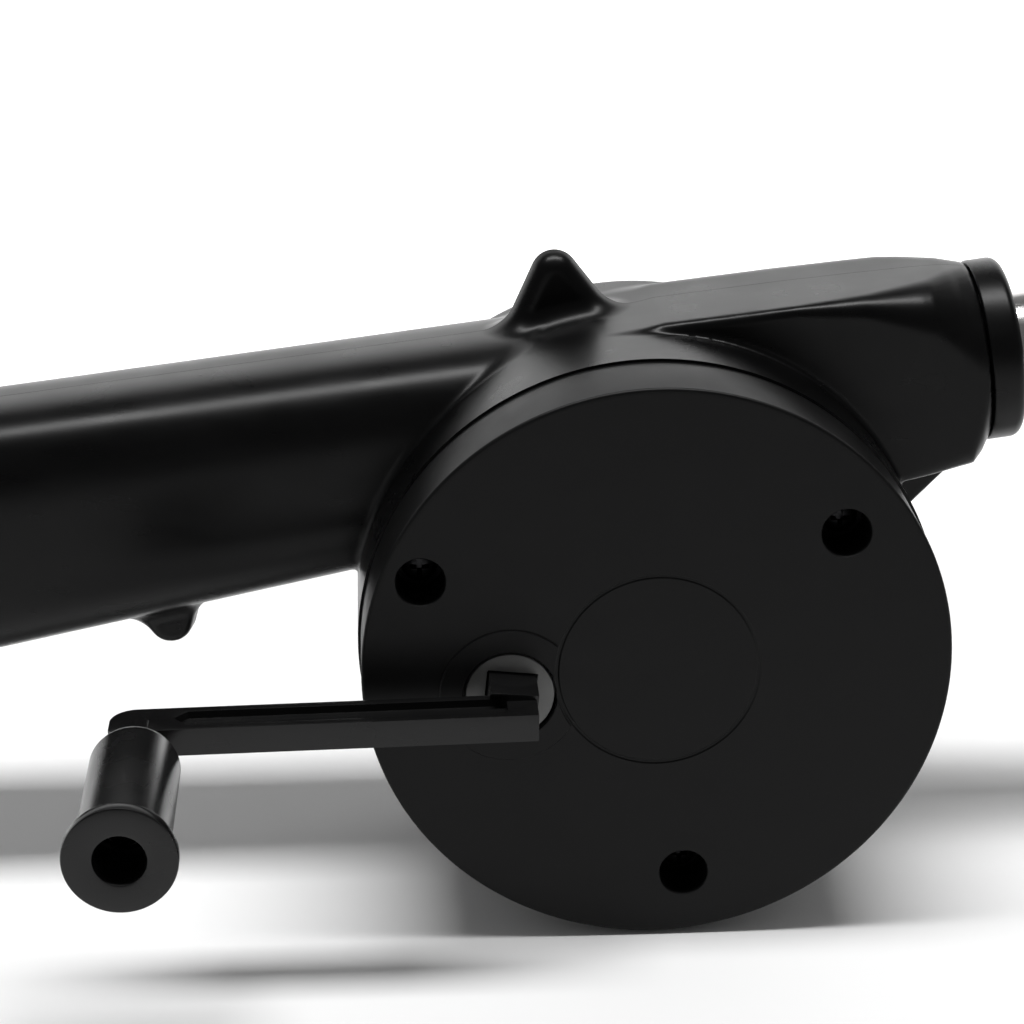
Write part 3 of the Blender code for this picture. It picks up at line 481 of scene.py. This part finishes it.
def slot_cutter(index):
    """One radial slot of the intake grille."""
    along = Vector(polar(1.0, 360.0 / GRILLE_SLOTS * (index + 0.5)))
    across = Vector((-along.y, along.x))
    outline = []
    for reach, turn in zip(SLOT_REACH, (1.0, -1.0)):
        for sweep in range(-90, 91, 15):
            a = math.radians(sweep)
            outline.append(along * reach + (along * math.cos(a) + across * math.sin(a)) * turn * SLOT_HALF)
    return prism([tuple(point) for point in outline], DRUM_REAR - 4.0, DRUM_REAR + 2.0)


def rounded_ring(place, y_span, height_span, radius, per_corner=9):
    """A rounded rectangle across the outlet's axis."""
    (y0, y1), (h0, h1) = y_span, height_span
    corners = ((y0, h1, 1, -1, 180.0), (y1, h1, -1, -1, 90.0), (y1, h0, -1, 1, 0.0), (y0, h0, 1, 1, -90.0))
    ring = []
    for y, height, inward_y, inward_h, start in corners:
        centre = (y + inward_y * radius, height + inward_h * radius)
        corner = arc(centre, radius, start, start - 90.0, per_corner)
        ring += [on_outlet_axis(place, *point) for point in corner]
    return ring


def duct_cutter():
    """Air way from the fan room to the tube's socket."""
    bore = TUBE_R - TUBE_WALL
    start = rounded_ring(-4.0, (30.4, 59.6), (-12.0, 14.6), 5.0)
    throat = rounded_ring(20.0, (30.4, 59.6), (-10.0, 14.6), 6.0)
    ends = [rounded_ring(place, (PARTING - bore, PARTING + bore), (-bore, bore), bore - 0.01)
            for place in (TUBE_SPAN[0] - 12.0, TUBE_SPAN[0] + 2.0)]
    return loft([start, throat] + ends)


def make_casing():
    whole = casing_skin()
    room = rod((0.0, 0.0), DRUM_R - DRUM_WALL, DIVIDER, DRUM_REAR - BACK_WALL, 96)
    front = casing_half(whole, "casing_front", True)
    rear = casing_half(whole, "casing_rear", False)
    bottom, wide = TUBE_SPAN[0] - 0.3, TUBE_R + 0.25
    socket = [(0.0, bottom), (wide, bottom), (wide, 80.0), (0.0, 80.0)]
    for half in (front, rear):
        cut(half, room.copy(), duct_cutter(), lathe_outlet(socket, closed=False))
    cut(front, rod((0.0, 0.0), 4.3, 15.0, 30.0))
    cut(rear, *[slot_cutter(index) for index in range(GRILLE_SLOTS)])
    for node in ("handle_screw", "drum_screw"):
        spot = middle(node)
        cut(rear, rod(spot, SCREW_WELL_R, 55.0, 70.0), rod(spot, SCREW_HOLE_R, 40.0, 60.0))
    for number in (1, 2, 3):
        cut(rear, rod(middle(f"ear_screw_{number}"), SCREW_HOLE_R, 40.0, 52.0))
    bpy.data.meshes.remove(whole)
    for half, node in ((front, "front_casing"), (rear, "rear_casing")):
        shade(half, 32.0)
        finish_piece(half, "housing", "black_plastic", CASING_PLASTIC, node)


# ---------------------------------------------------------------- materials

class Nodes:
    """Short names for building a shader."""

    def __init__(self, name):
        self.material = bpy.data.materials.new(name)
        self.material.use_nodes = True
        self.tree = self.material.node_tree
        self.shader = self.tree.nodes["Principled BSDF"]

    def add(self, kind, **values):
        node = self.tree.nodes.new(kind)
        for key, value in values.items():
            if key in node.inputs:
                node.inputs[key].default_value = value
            else:
                setattr(node, key, value)
        return node

    def link(self, output, target):
        self.tree.links.new(output, target)

    def place(self, scale=(1.0, 1.0, 1.0)):
        """Object coordinates, stretched."""
        coordinates = self.add("ShaderNodeTexCoord")
        mapping = self.add("ShaderNodeMapping", Scale=scale)
        self.link(coordinates.outputs["Object"], mapping.inputs["Vector"])
        return mapping.outputs["Vector"]

    def noise(self, vector, size_mm, detail=2.0, roughness=0.5):
        node = self.add("ShaderNodeTexNoise", Scale=1.0 / (size_mm * MM), Detail=detail, Roughness=roughness)
        self.link(vector, node.inputs["Vector"])
        return node.outputs["Fac"]

    def ramp(self, value, start, end, low, high):
        node = self.add("ShaderNodeMapRange")
        for name, number in (("From Min", start), ("From Max", end), ("To Min", low), ("To Max", high)):
            node.inputs[name].default_value = number
        self.link(value, node.inputs["Value"])
        return node.outputs["Result"]

    def remap(self, value, low, high):
        """Spread the useful part of a noise between two values."""
        return self.ramp(value, 0.3, 0.7, low, high)

    def mix(self, factor, low, high):
        node = self.add("ShaderNodeMix", data_type="RGBA")
        self.link(factor, node.inputs["Factor"])
        node.inputs["A"].default_value = (*low, 1.0)
        node.inputs["B"].default_value = (*high, 1.0)
        return node.outputs["Result"]

    def bump(self, height, depth_mm, strength=1.0, below=None):
        node = self.add("ShaderNodeBump", Strength=strength, Distance=depth_mm * MM)
        self.link(height, node.inputs["Height"])
        if below is not None:
            self.link(below, node.inputs["Normal"])
        return node.outputs["Normal"]


def moulded_plastic(name, dark, light, roughness, specular, grain_mm=0.35, grain_depth=0.004):
    """Black moulded plastic: a fine spark-eroded grain, faint flow marks and uneven gloss."""
    n = Nodes(name)
    where = n.place()
    flow = n.noise(n.place((1.0, 1.0, 3.0)), 14.0, 3.0)
    grain = n.noise(where, grain_mm, 3.0, 0.6)
    n.link(n.mix(flow, dark, light), n.shader.inputs["Base Color"])
    n.link(n.remap(flow, roughness - 0.03, roughness + 0.05), n.shader.inputs["Roughness"])
    fine = n.bump(grain, grain_depth)
    n.link(n.bump(n.noise(where, 9.0, 2.0), 0.03, 0.5, fine), n.shader.inputs["Normal"])
    n.shader.inputs["Specular IOR Level"].default_value = specular
    return n.material


def nylon(name, low, high):
    """Natural nylon: translucent off-white with a soft gloss."""
    n = Nodes(name)
    where = n.place()
    n.link(n.mix(n.noise(where, 2.5, 3.0), low, high), n.shader.inputs["Base Color"])
    n.link(n.remap(n.noise(where, 1.2), 0.38, 0.50), n.shader.inputs["Roughness"])
    n.link(n.bump(n.noise(where, 0.3, 2.0), 0.004), n.shader.inputs["Normal"])
    return n.material


def metal(name, low, high, roughness, stretch=(1.0, 1.0, 1.0), depth=0.002):
    """Turned, drawn or plated metal, brushed along one axis."""
    n = Nodes(name)
    lines = n.noise(n.place(stretch), 0.25, 2.0)
    cloud = n.noise(n.place(), 6.0, 3.0)
    n.link(n.mix(cloud, low, high), n.shader.inputs["Base Color"])
    n.link(n.remap(lines, roughness - 0.05, roughness + 0.07), n.shader.inputs["Roughness"])
    n.link(n.bump(lines, depth), n.shader.inputs["Normal"])
    n.shader.inputs["Metallic"].default_value = 1.0
    return n.material


CASING_PLASTIC = moulded_plastic(
    "casing_plastic", (0.0012, 0.0012, 0.0013), (0.0024, 0.0024, 0.0025), 0.29, 0.17)
COVER_PLASTIC = moulded_plastic(
    "cover_plastic", (0.0030, 0.0030, 0.0031), (0.0042, 0.0042, 0.0043), 0.38, 0.15)
CRANK_PLASTIC = moulded_plastic(
    "crank_black", (0.0036, 0.0036, 0.0038), (0.0060, 0.0060, 0.0060), 0.25, 0.32, 0.8)
FAN_PLASTIC = moulded_plastic("fan_plastic", (0.010, 0.010, 0.010), (0.016, 0.016, 0.016), 0.45, 0.4)
HUB_NYLON = nylon("hub_nylon", (0.095, 0.095, 0.093), (0.14, 0.14, 0.137))
GEAR_RESIN = nylon("gear_resin_fine", (0.52, 0.51, 0.46), (0.62, 0.61, 0.56))
TUBE_METAL = metal("tube_polish", (0.70, 0.69, 0.68), (0.80, 0.79, 0.78), 0.14, (0.02, 1.0, 1.0))
TURNED_STEEL = metal("turned_steel", (0.48, 0.48, 0.49), (0.62, 0.62, 0.63), 0.26, (1.0, 6.0, 1.0))
SCREW_STEEL = metal(
    "blackened_steel", (0.020, 0.020, 0.021), (0.045, 0.045, 0.047), 0.34, depth=0.004)
BRONZE = metal("sintered_bronze", (0.42, 0.28, 0.12), (0.55, 0.38, 0.17), 0.42, depth=0.006)


def finish_piece(piece, body, slot, material, *nodes):
    """Give a piece its material, its body and the CAD nodes that it stands for."""
    piece.data.materials.clear()
    piece.data.materials.append(material)
    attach(piece, body)
    if nodes:
        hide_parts(*nodes)
    return piece


# ---------------------------------------------------------------- cover and screws

def hub_ring_outline(radius):
    """Raised ring round the hub opening, cut short where the medallion's groove passes."""
    keep_out = MEDALLION_R + 0.65
    reach = math.hypot(*CRANK)
    towards = math.degrees(math.atan2(-CRANK[1], -CRANK[0]))
    half_lens = math.degrees(math.acos((radius ** 2 + reach ** 2 - keep_out ** 2) / (2.0 * radius * reach)))
    outline = arc(CRANK, radius, towards + half_lens, towards + 360.0 - half_lens, 90)
    start = math.degrees(math.atan2(outline[-1][1], outline[-1][0])) % 360.0
    end = math.degrees(math.atan2(outline[0][1], outline[0][0])) % 360.0
    return outline + arc((0.0, 0.0), keep_out, start, end, 20)[1:-1]


def make_cover():
    inner = COVER_R - COVER_WALL
    edge = COVER_EDGE
    groove = [(MEDALLION_R - 0.8, 0.0), (MEDALLION_R - 0.4, 0.0), (MEDALLION_R - 0.15, 0.16),
              (MEDALLION_R + 0.15, 0.16), (MEDALLION_R + 0.4, 0.0), (MEDALLION_R + 0.8, 0.0)]
    face = [(46.0, 0.0), (COVER_R - 2.0 * edge, 0.0)]
    front_edge = [(COVER_R - edge + edge * math.sin(a), edge - edge * math.cos(a))
                  for a in np.radians((0, 22.5, 45, 67.5, 90))]
    rear_edge = [(COVER_R, COVER_REAR - 0.3), (COVER_R - 0.3, COVER_REAR)]
    inside = [(inner, COVER_REAR), (inner, 2.4), (0.0, 2.4)]
    profile = [(0.0, 0.0)] + groove + face + front_edge + rear_edge + inside
    cover = make_object("cover_shell", lathe(profile, steps=256, closed=False))
    ring = loft([[(x, y, z) for x, z in hub_ring_outline(radius)]
                 for y, radius in ((1.0, HUB_RING_R + 0.12), (-HUB_RING_HEIGHT + 0.14, HUB_RING_R + 0.05),
                                   (-HUB_RING_HEIGHT, HUB_RING_R - 0.12))])
    screws = [middle(f"cover_screw_{number}") for number in (1, 2, 3)]
    join(cover, ring, *[rod(spot, BOSS_R, 1.2, COVER_REAR - 0.3) for spot in screws])
    opening = [(0.0, -2.0), (HUB_OPENING_R + 1.8, -2.0), (HUB_OPENING_R, -0.2), (HUB_OPENING_R, 4.0),
               (0.0, 4.0)]
    cut(cover, lathe(opening, CRANK, closed=False))
    for spot in screws:
        hole = [(0.0, -1.0), (COUNTERBORE_R + 1.2, -1.0), (COUNTERBORE_R + 0.05, 0.15), (COUNTERBORE_R, 0.4),
                (COUNTERBORE_R, SCREW_SEAT), (0.0, SCREW_SEAT)]
        cut(cover, lathe(hole, spot, 64, closed=False), rod(spot, SCREW_HOLE_R, 5.0, 25.0))
    finish_piece(shade(cover), "housing", "black_plastic", COVER_PLASTIC, "front_cover")


def cross_cutter(spot, top, depth, arm=1.75, width=0.85):
    """Tapered cross recess of a screw's drive."""
    x, z = spot
    bars = []
    for half_x, half_z in ((arm, width / 2.0), (width / 2.0, arm)):
        rings = []
        for y, share in ((top - math.copysign(0.8, depth), 1.15), (top, 1.0), (top + depth, 0.45)):
            rings.append([(x + sx * (half_x * share), y, z + sz * half_z)
                          for sx, sz in ((-1, -1), (1, -1), (1, 1), (-1, 1))] if half_x > half_z else
                         [(x + sx * half_x, y, z + sz * (half_z * share))
                          for sx, sz in ((-1, -1), (1, -1), (1, 1), (-1, 1))])
        bars.append(loft(rings))
    return bars


def make_screw(name, node, head_r, body="housing"):
    """A pan-head screw in the place of a CAD one. Its head is at the end where the CAD one is widest."""
    low, high = span(node, 1)
    spot = middle(node)
    co = [v.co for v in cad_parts[node].data.vertices]
    wide = [v.y / MM for v in co if math.hypot(v.x / MM - spot[0], v.z / MM - spot[1]) > head_r - 0.2]
    faces_front = sum(wide) / len(wide) < (low + high) / 2.0
    top, tip = (low, high) if faces_front else (high, low)
    inward = 1.0 if faces_front else -1.0
    seat = max(wide) if faces_front else min(wide)
    crown = abs(seat - top)
    dome = [(head_r * math.sin(a), top + inward * crown * 0.75 * (1.0 - math.cos(a)))
            for a in np.linspace(0, math.pi / 2, 8)]
    profile = dome + [(head_r, seat - inward * 0.1), (head_r - 0.1, seat), (SHANK_R, seat),
                      (SHANK_R, tip - inward * 1.6), (0.0, tip)]
    screw = make_object(name, lathe(profile, spot, 48, closed=False))
    cut(screw, *cross_cutter(spot, top, inward * crown * 0.72))
    finish_piece(shade(screw), body, "black_steel", SCREW_STEEL, node)


def make_screws():
    for number in (1, 2, 3):
        make_screw(f"cover_screw_fine_{number}", f"cover_screw_{number}", 3.1)
        make_screw(f"ear_screw_fine_{number}", f"ear_screw_{number}", 2.6)
    make_screw("handle_screw_fine", "handle_screw", 2.9)
    make_screw("drum_screw_fine", "drum_screw", 2.9)
    make_screw("grip_screw_fine", "grip_screw", 3.0, "crank")


# ---------------------------------------------------------------- outlet fittings

def make_collar():
    start, end = COLLAR_SPAN
    corner = 1.8
    outer = [polar(corner, a, (COLLAR_R - corner, end - corner)) for a in range(0, 91, 15)]
    inner_edge = [polar(0.4, a, (COLLAR_R - 0.4, start + 0.4)) for a in range(-90, 1, 22)]
    lip = TUBE_R + 0.3
    profile = [(NECK_R + 0.3, start)] + inner_edge + outer \
        + [(lip + 0.4, end), (lip, end - 0.4), (lip, end - 2.0), (NECK_R + 0.3, end - 2.0)]
    collar = shade(make_object("collar_ring", lathe_outlet(profile, 128)))
    finish_piece(collar, "housing", "black_plastic", CASING_PLASTIC, "outlet_collar")


def make_tube():
    start, end = TUBE_SPAN
    half_wall = TUBE_WALL / 2.0
    rim = [polar(half_wall, a, (TUBE_R - half_wall, end - half_wall)) for a in range(0, 181, 30)]
    profile = [(TUBE_R - TUBE_WALL, start), (TUBE_R, start)] + rim
    tube = shade(make_object("polished_air_tube", lathe_outlet(profile, 128)), 60.0)
    finish_piece(tube, "housing", "polished_tube", TUBE_METAL, "air_tube")


# ---------------------------------------------------------------- crank

def arm_height(x):
    """Height of the arm's centreline."""
    slope = (GRIP[1] - ARM_HUB_END[1]) / (GRIP[0] - ARM_HUB_END[0])
    return ARM_HUB_END[1] + slope * (x - ARM_HUB_END[0])


def slab(plan, low, high):
    """A solid with an XY plan that follows the arm's slope between two offsets from its centreline."""
    return loft([[(x, y, arm_height(x) + offset) for x, y in plan] for offset in (low, high)])


def make_crank_lever():
    left = GRIP[0] - 5.0
    corner = 4.4
    plan = arc((left + corner, ARM_REAR - corner), corner, 180.0, 90.0, 13) \
        + [(ARM_HUB_END[0], ARM_REAR), (ARM_HUB_END[0], ARM_FRONT), (left + 0.8, ARM_FRONT),
           (left, ARM_FRONT + 0.8)]
    lever = make_object("crank_lever", slab(plan, -ARM_HALF, ARM_HALF))
    rear, front = ARM_REAR - ARM_RIB, ARM_FRONT + ARM_RIB
    near, far = ARM_GROOVE
    groove = [(near, rear - 0.6), (near, front + 0.6), (near - 0.8, front), (far + 2.0, front),
              (far, front + 2.6), (far, rear - 2.2), (far + 2.0, rear), (near - 0.8, rear)]
    join(lever, prism(square(CRANK, PEG_SIDE, PEG_TURN), ARM_REAR - 2.6, 11.6))
    cut(lever, slab(groove, ARM_HALF - 1.3, ARM_HALF + 1.0), slab(groove, -ARM_HALF - 1.0, -ARM_HALF + 1.3))
    collar = GRIP_REAR + 0.3
    spindle = [(0.0, ARM_FRONT + 4.0), (SPINDLE_R, ARM_FRONT + 4.0), (SPINDLE_R, collar + 1.2),
               (SPINDLE_R + 0.6, collar + 0.9), (SPINDLE_R + 0.6, collar), (SPINDLE_R, collar),
               (SPINDLE_R, SPINDLE_END), (0.0, SPINDLE_END)]
    join(lever, lathe(spindle, GRIP, 72, closed=False))
    cut(lever, rod(GRIP, 1.6, SPINDLE_END - 2.0, SPINDLE_END + 12.0, 32))
    soften(lever, 0.38, 35.0)
    finish_piece(shade(lever, 25.0), "crank", "crank_plastic", CRANK_PLASTIC, "crank_arm")


def make_knob():
    front, rear = GRIP_FRONT, GRIP_REAR
    seat = -40.4
    bore = 3.15
    shoulder = [(bore, rear), (3.8, rear), (4.1, rear - 0.15), (5.4, rear - 1.35), (6.5, rear - 2.5),
                (7.0, rear - 3.25), (GRIP_R, rear - 4.3)]
    neck = [polar(0.6, a, (GRIP_R + 0.6, front + 2.8)) for a in (180, 202, 225, 247, 270)]
    rim = [(GRIP_FLANGE_R - 0.3, front + 2.2), (GRIP_FLANGE_R - 0.08, front + 2.1),
           (GRIP_FLANGE_R, front + 1.85), (GRIP_FLANGE_R, front + 0.4), (GRIP_FLANGE_R - 0.12, front + 0.12),
           (GRIP_FLANGE_R - 0.4, front)]
    mouth = [(GRIP_HOLE_R + 0.55, front), (GRIP_HOLE_R + 0.2, front + 0.12), (GRIP_HOLE_R, front + 0.5)]
    profile = shoulder + neck + rim + mouth + [(GRIP_HOLE_R, seat), (bore, seat)]
    knob = shade(make_object("crank_knob", lathe(profile, GRIP, 128)))
    finish_piece(knob, "grip", "crank_plastic", CRANK_PLASTIC, "crank_grip")


def make_hub():
    """Crank wheel: its nylon hub shows in the cover's opening, with the square socket in its end."""
    hub_end = DRUM_FRONT - 0.6
    front, rear = GEAR_FACES
    profile = [(0.0, 0.0), (HUB_R - 0.35, 0.0), (HUB_R - 0.1, 0.1), (HUB_R, 0.35), (HUB_R, front),
               (GEAR_R, front), (GEAR_R, rear), (HUB_R, rear), (HUB_R, hub_end), (0.0, hub_end)]
    hub = make_object("hub_gear", lathe(profile, CRANK, 96, closed=False))
    cut(hub, prism(square(CRANK, SOCKET_SIDE, PEG_TURN), -1.0, 12.0), rod(CRANK, 3.2, 11.0, 25.0))
    for tooth in range(GEAR_TEETH):
        gap = [polar(radius, 360.0 * (tooth + 0.5) / GEAR_TEETH + side, CRANK)
               for radius, side in ((21.0, -2.6), (17.9, -0.9), (17.9, 0.9), (21.0, 2.6))]
        cut(hub, prism(gap, front - 1.2, rear + 1.0))
    finish_piece(shade(hub), "crank", "natural_nylon", HUB_NYLON, "crank_gear")


# ---------------------------------------------------------------- CAD nodes that stay

def finish_cad_nodes():
    kept = {
        "fan_impeller": FAN_PLASTIC, "idler_gear": GEAR_RESIN, "fan_pinion": BRONZE, "front_bush": BRONZE,
        "rear_bush": BRONZE, "idler_pin": TURNED_STEEL, "fan_shaft": TURNED_STEEL,
        "grip_washer": TURNED_STEEL, "shaft_clip": TURNED_STEEL,
    }
    for node, material in kept.items():
        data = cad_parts[node].data
        data.materials.clear()
        data.materials.append(material)


# ---------------------------------------------------------------- camera, floor and light

def make_camera():
    data = bpy.data.cameras.new("camera")
    data.sensor_width = 36.0
    data.lens = CAMERA_LENS
    camera = bpy.data.objects.new("camera", data)
    camera.location = CAMERA_PLACE
    camera.rotation_euler = (math.radians(90.0 - CAMERA_DOWN), 0.0, math.radians(CAMERA_TURN))
    bpy.context.scene.collection.objects.link(camera)
    bpy.context.scene.camera = camera


def make_stage():
    """Pale floor that curves up into a backdrop, which is lit from within like a light table."""
    floor_z = -DRUM_R - 0.2
    reach, bend_y, bend_r, top = 3000.0, 500.0, 400.0, 2500.0
    profile = [(-reach, floor_z), (bend_y, floor_z)]
    profile += [(bend_y + bend_r * math.sin(a), floor_z + bend_r * (1.0 - math.cos(a)))
                for a in np.linspace(0.1, 1.5, 12)]
    profile += [(bend_y + bend_r + 5.0, top)]
    bm = bmesh.new()
    rows = [[bm.verts.new((x, y, z)) for y, z in profile] for x in (-reach, reach)]
    for i in range(len(profile) - 1):
        bm.faces.new((rows[0][i], rows[1][i], rows[1][i + 1], rows[0][i + 1]))
    floor = make_object("stage_floor", bm)
    floor.data.shade_smooth()
    n = Nodes("stage_white")
    n.shader.inputs["Base Color"].default_value = (0.86, 0.86, 0.86, 1.0)
    n.shader.inputs["Roughness"].default_value = 0.9
    n.shader.inputs["Specular IOR Level"].default_value = 0.1
    n.shader.inputs["Emission Color"].default_value = (1.0, 1.0, 1.0, 1.0)
    place = n.add("ShaderNodeSeparateXYZ")
    n.link(n.place(), place.inputs["Vector"])
    behind = n.ramp(place.outputs["Y"], *GLOW_BEHIND, 0.0, GLOW)
    below = n.ramp(place.outputs["Z"], *GLOW_BELOW, 1.0, 0.0)
    glow = n.add("ShaderNodeMath", operation="MULTIPLY")
    n.link(behind, glow.inputs[0])
    n.link(below, glow.inputs[1])
    n.link(glow.outputs["Value"], n.shader.inputs["Emission Strength"])
    floor.data.materials.append(n.material)


def make_light(name, location, target, size, power):
    data = bpy.data.lights.new(name, "AREA")
    data.shape = "RECTANGLE"
    data.size, data.size_y = size
    data.energy = power
    light = bpy.data.objects.new(name, data)
    light.location = location
    light.rotation_euler = (Vector(target) - Vector(location)).to_track_quat("-Z", "Y").to_euler()
    bpy.context.scene.collection.objects.link(light)


def make_lights():
    make_light("key_softbox", KEY_PLACE, KEY_TARGET, KEY_SIZE, KEY_POWER)
    world = bpy.data.worlds.new("world")
    bpy.context.scene.world = world
    world.use_nodes = True
    background = world.node_tree.nodes["Background"]
    background.inputs["Color"].default_value = (1.0, 1.0, 1.0, 1.0)
    background.inputs["Strength"].default_value = WORLD_LIGHT


bpy.context.scene.view_settings.view_transform = "Standard"
make_camera()
make_stage()
make_lights()
make_casing()
make_cover()
make_screws()
make_collar()
make_tube()
make_crank_lever()
make_knob()
make_hub()
finish_cad_nodes()
